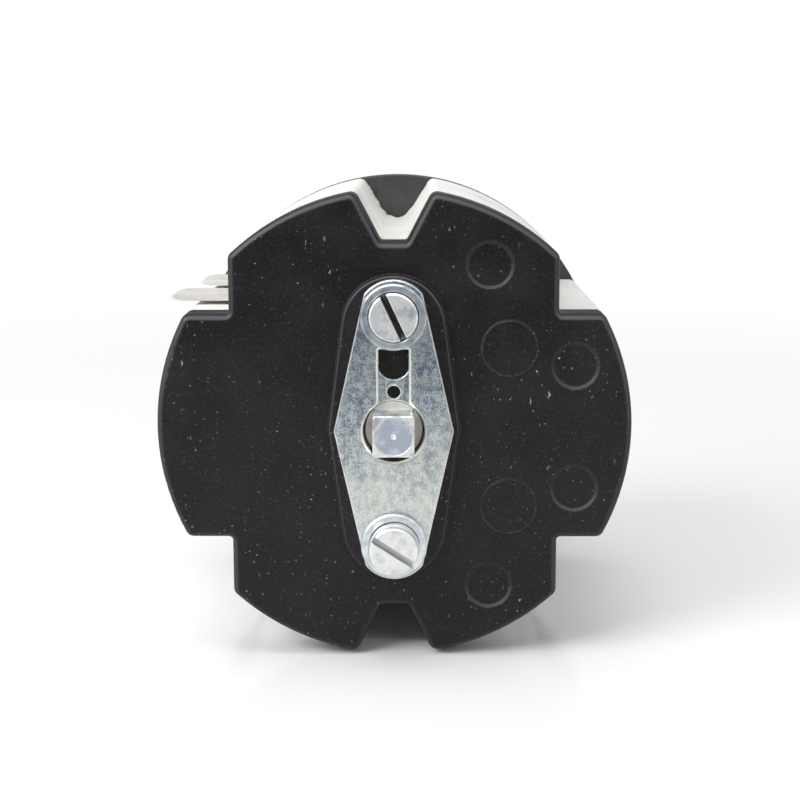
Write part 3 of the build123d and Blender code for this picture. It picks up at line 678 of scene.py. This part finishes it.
def notch_flash(name, material):
    """Closed wedge along FLASH_COURSE, thin at the front and proud at the back."""
    free_edge = through([free for free, root in FLASH_COURSE], FLASH_STEPS)
    root_edge = through([root for free, root in FLASH_COURSE], FLASH_STEPS)
    rows = []
    for k, (free, root) in enumerate(zip(free_edge, root_edge)):
        # Only the left half wavers
        if free.x < 0:
            wave = math.sin(FLASH_FAST_WAVE * k) + math.sin(FLASH_SLOW_WAVE * k + FLASH_SLOW_START)
            free = free + (free - root).normalized() * (FLASH_WAVER * wave)
        ring = ((root, FLASH_FRONT), (root, FLASH_BACK), (free, FLASH_BACK))
        rows.append([(point.x * MM, depth, point.y * MM) for point, depth in ring])
    piece = loft(name, rows, material)
    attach(piece, "case")


notch_flash("top_notch_flash", white_moulding)


# Stage: floor, world and lamps

FLOOR_RADIUS = 3.0
FLOOR_SEGMENTS = 96
FLOOR_WHITE = grey(0.97)
FLOOR_ROUGHNESS = 0.12
FLOOR_GLOSS = 0.2
FLOOR_LIFT = 0.01
FAR_WHITE = grey(0.86)
# The floor keeps its shadow within the first distance and is plain white past the second
SHADE_ENDS, WHITE_FROM = 0.10, 0.34
DOME_FULL = 0.75
DOME_STRENGTH = 0.45
DOME_COLOUR = paint(0.97, 0.98, 1.0)
LAMP_TARGET = (0.0, 0.02, 0.0)


def soft_box(name, location, size, power):
    lamp = bpy.data.lights.new(name, "AREA")
    lamp.shape = "RECTANGLE"
    lamp.size, lamp.size_y = size
    lamp.energy = power
    holder = bpy.data.objects.new(name, lamp)
    holder.location = location
    aim = Vector(LAMP_TARGET) - Vector(location)
    holder.rotation_euler = aim.to_track_quat("-Z", "Y").to_euler()
    scene.collection.objects.link(holder)


def ray_gate(tree):
    """1 for rays from the camera, from gloss and from glass, otherwise 0."""
    path = tree.add("ShaderNodeLightPath").outputs
    gate = tree.larger(path["Is Camera Ray"], path["Is Glossy Ray"])
    return tree.larger(gate, path["Is Transmission Ray"])


def floor_material():
    """Glossy white floor that keeps the shadow near the object and runs out into white."""
    tree = material_tree("floor_white")
    gate = ray_gate(tree)
    glossy = tree.add("ShaderNodeBsdfPrincipled", {
        "Base Color": FLOOR_WHITE, "Roughness": FLOOR_ROUGHNESS, "Specular IOR Level": FLOOR_GLOSS})
    lift = tree.add("ShaderNodeEmission", {"Color": WHITE, "Strength": tree.times(gate, FLOOR_LIFT)})
    near = tree.add("ShaderNodeAddShader", {0: glossy.outputs[0], 1: lift.outputs[0]})
    glow = tree.add("ShaderNodeEmission", {"Color": WHITE, "Strength": 1.0})
    plain = tree.add("ShaderNodeBsdfDiffuse", {"Color": FAR_WHITE})
    far = tree.add("ShaderNodeMixShader", {0: gate, 1: plain.outputs[0], 2: glow.outputs[0]})
    parts = tree.axes(tree.place())
    reach = tree.ramp(tree.span(parts[0], parts[1]), SHADE_ENDS, WHITE_FROM)
    return tree.surface(
        tree.add("ShaderNodeMixShader", {0: reach, 1: near.outputs[0], 2: far.outputs[0]}))


def world_light(name):
    """Soft dome, brightest overhead, that looks plain white itself."""
    tree = Tree(bpy.data.worlds.new(name), "ShaderNodeOutputWorld")
    height = tree.axes(tree.add("ShaderNodeTexCoord").outputs["Generated"])[2]
    strength = tree.ramp(height, 0.0, DOME_FULL, to_high=DOME_STRENGTH)
    dome = tree.add("ShaderNodeBackground", {"Color": DOME_COLOUR, "Strength": strength})
    seen = tree.add("ShaderNodeBackground", {"Color": WHITE, "Strength": 1.0})
    return tree.surface(
        tree.add("ShaderNodeMixShader", {0: ray_gate(tree), 1: dome.outputs[0], 2: seen.outputs[0]}))


floor_mesh = bmesh.new()
bmesh.ops.create_circle(floor_mesh, cap_ends=True, segments=FLOOR_SEGMENTS, radius=FLOOR_RADIUS)
floor = place_mesh("floor", floor_mesh, floor_material())
floor.location.z = FLOOR

scene.world = world_light("studio")
soft_box("key", location=(-0.42, -0.29, 0.38), size=(0.34, 0.34), power=2.6)
soft_box("top", location=(-0.04, -0.04, 0.60), size=(0.46, 0.40), power=1.65)
soft_box("front", location=(0.22, -0.55, 0.22), size=(0.40, 0.40), power=0.7)


# A dark flag in front gives the metal something to reflect

FLAG_RADIUS = 0.12
FLAG_HEIGHT = 0.09
FLAG_HALF_ANGLE = 42
FLAG_STEP = 6
FLAG_SIDE_FADE = 16
# Shares of the height, from the middle, where the dark starts and ends its fade to white
FLAG_DARK_TO, FLAG_WHITE_FROM = 0.28, 0.5
FLAG_DARK = paint(0.07, 0.082, 0.095)


def flag_material():
    """Dark grey glow that fades to white towards the flag's borders."""
    tree = material_tree("flag_grey")
    across, depth, rise = tree.axes(tree.place())
    angle = tree.math("ABSOLUTE", tree.math("ARCTAN2", across, tree.times(depth, -1.0)))
    sides = tree.ramp(
        angle, math.radians(FLAG_HALF_ANGLE - FLAG_SIDE_FADE), math.radians(FLAG_HALF_ANGLE))
    ends = tree.ramp(
        tree.math("ABSOLUTE", rise), FLAG_DARK_TO * FLAG_HEIGHT, FLAG_WHITE_FROM * FLAG_HEIGHT)
    colour = tree.mix(tree.larger(sides, ends), FLAG_DARK, WHITE)
    return tree.surface(tree.add("ShaderNodeEmission", {"Color": colour, "Strength": 1.0}))


flag_mesh = bmesh.new()
flag_edge = []
for degrees in range(-FLAG_HALF_ANGLE, FLAG_HALF_ANGLE + 1, FLAG_STEP):
    flag_x = FLAG_RADIUS * math.sin(math.radians(degrees))
    flag_y = -FLAG_RADIUS * math.cos(math.radians(degrees))
    flag_edge.append([flag_mesh.verts.new((flag_x, flag_y, side * FLAG_HEIGHT / 2)) for side in (-1, 1)])
for first, second in zip(flag_edge, flag_edge[1:]):
    flag_mesh.faces.new((first[0], second[0], second[1], first[1]))
flags = place_mesh("flags", flag_mesh, flag_material())
flags.location.z = FLOOR + FLAG_HEIGHT / 2
flags.visible_camera = False
flags.visible_diffuse = False
flags.visible_shadow = False
flags.visible_transmission = False


# A black card inside the bottom notch keeps the floor under the object dark

CARD_FOOT_DEPTH = 7.0 * MM
CARD_TOP_DEPTH = 3.0 * MM
CARD_FADE = 2.2 * MM
CARD_HALF_WIDTH = 8.0 * MM
CARD_TOP = -22.4 * MM
CARD_BLACK = grey(0.01)


def card_material():
    """Black that fades out towards the floor."""
    tree = material_tree("card_black")
    black = tree.add("ShaderNodeBsdfDiffuse", {"Color": CARD_BLACK})
    clear = tree.add("ShaderNodeBsdfTransparent")
    share = tree.ramp(tree.axes(tree.place())[2], FLOOR, FLOOR + CARD_FADE)
    return tree.surface(
        tree.add("ShaderNodeMixShader", {0: share, 1: clear.outputs[0], 2: black.outputs[0]}))


card_mesh = bmesh.new()
card_mesh.faces.new([card_mesh.verts.new(corner) for corner in (
    (-CARD_HALF_WIDTH, CARD_FOOT_DEPTH, FLOOR), (CARD_HALF_WIDTH, CARD_FOOT_DEPTH, FLOOR),
    (CARD_HALF_WIDTH, CARD_TOP_DEPTH, CARD_TOP), (-CARD_HALF_WIDTH, CARD_TOP_DEPTH, CARD_TOP))])
card = place_mesh("under_card", card_mesh, card_material())
card.visible_camera = False
card.visible_glossy = False


# Camera, fitted to the photograph's view

FRAME_PIXELS = 800
FOCAL_PIXELS = 1397.8
SENSOR_WIDTH = 36.0
CAMERA_SHIFT = -0.12
CAMERA_CLIP = (0.01, 20.0)
CAMERA_PLACE = Vector((2.591, -164.136, 38.615)) * MM
CAMERA_YAW, CAMERA_PITCH, CAMERA_ROLL = -0.627, 8.007, -0.15

camera_data = bpy.data.cameras.new("camera")
camera = bpy.data.objects.new("camera", camera_data)
scene.collection.objects.link(camera)
scene.camera = camera
camera_data.sensor_width = SENSOR_WIDTH
camera_data.lens = FOCAL_PIXELS / FRAME_PIXELS * SENSOR_WIDTH
camera_data.shift_y = CAMERA_SHIFT
camera_data.clip_start, camera_data.clip_end = CAMERA_CLIP
yaw, pitch, roll = (math.radians(angle) for angle in (CAMERA_YAW, CAMERA_PITCH, CAMERA_ROLL))
forward = Vector((math.sin(yaw) * math.cos(pitch), math.cos(yaw) * math.cos(pitch), -math.sin(pitch)))
level = Vector((math.cos(yaw), -math.sin(yaw), 0.0))
upright = level.cross(forward)
right = math.cos(roll) * level + math.sin(roll) * upright
up = math.cos(roll) * upright - math.sin(roll) * level
camera_turn = Matrix((right, up, -forward)).transposed().to_4x4()
camera.matrix_world = Matrix.Translation(CAMERA_PLACE) @ camera_turn
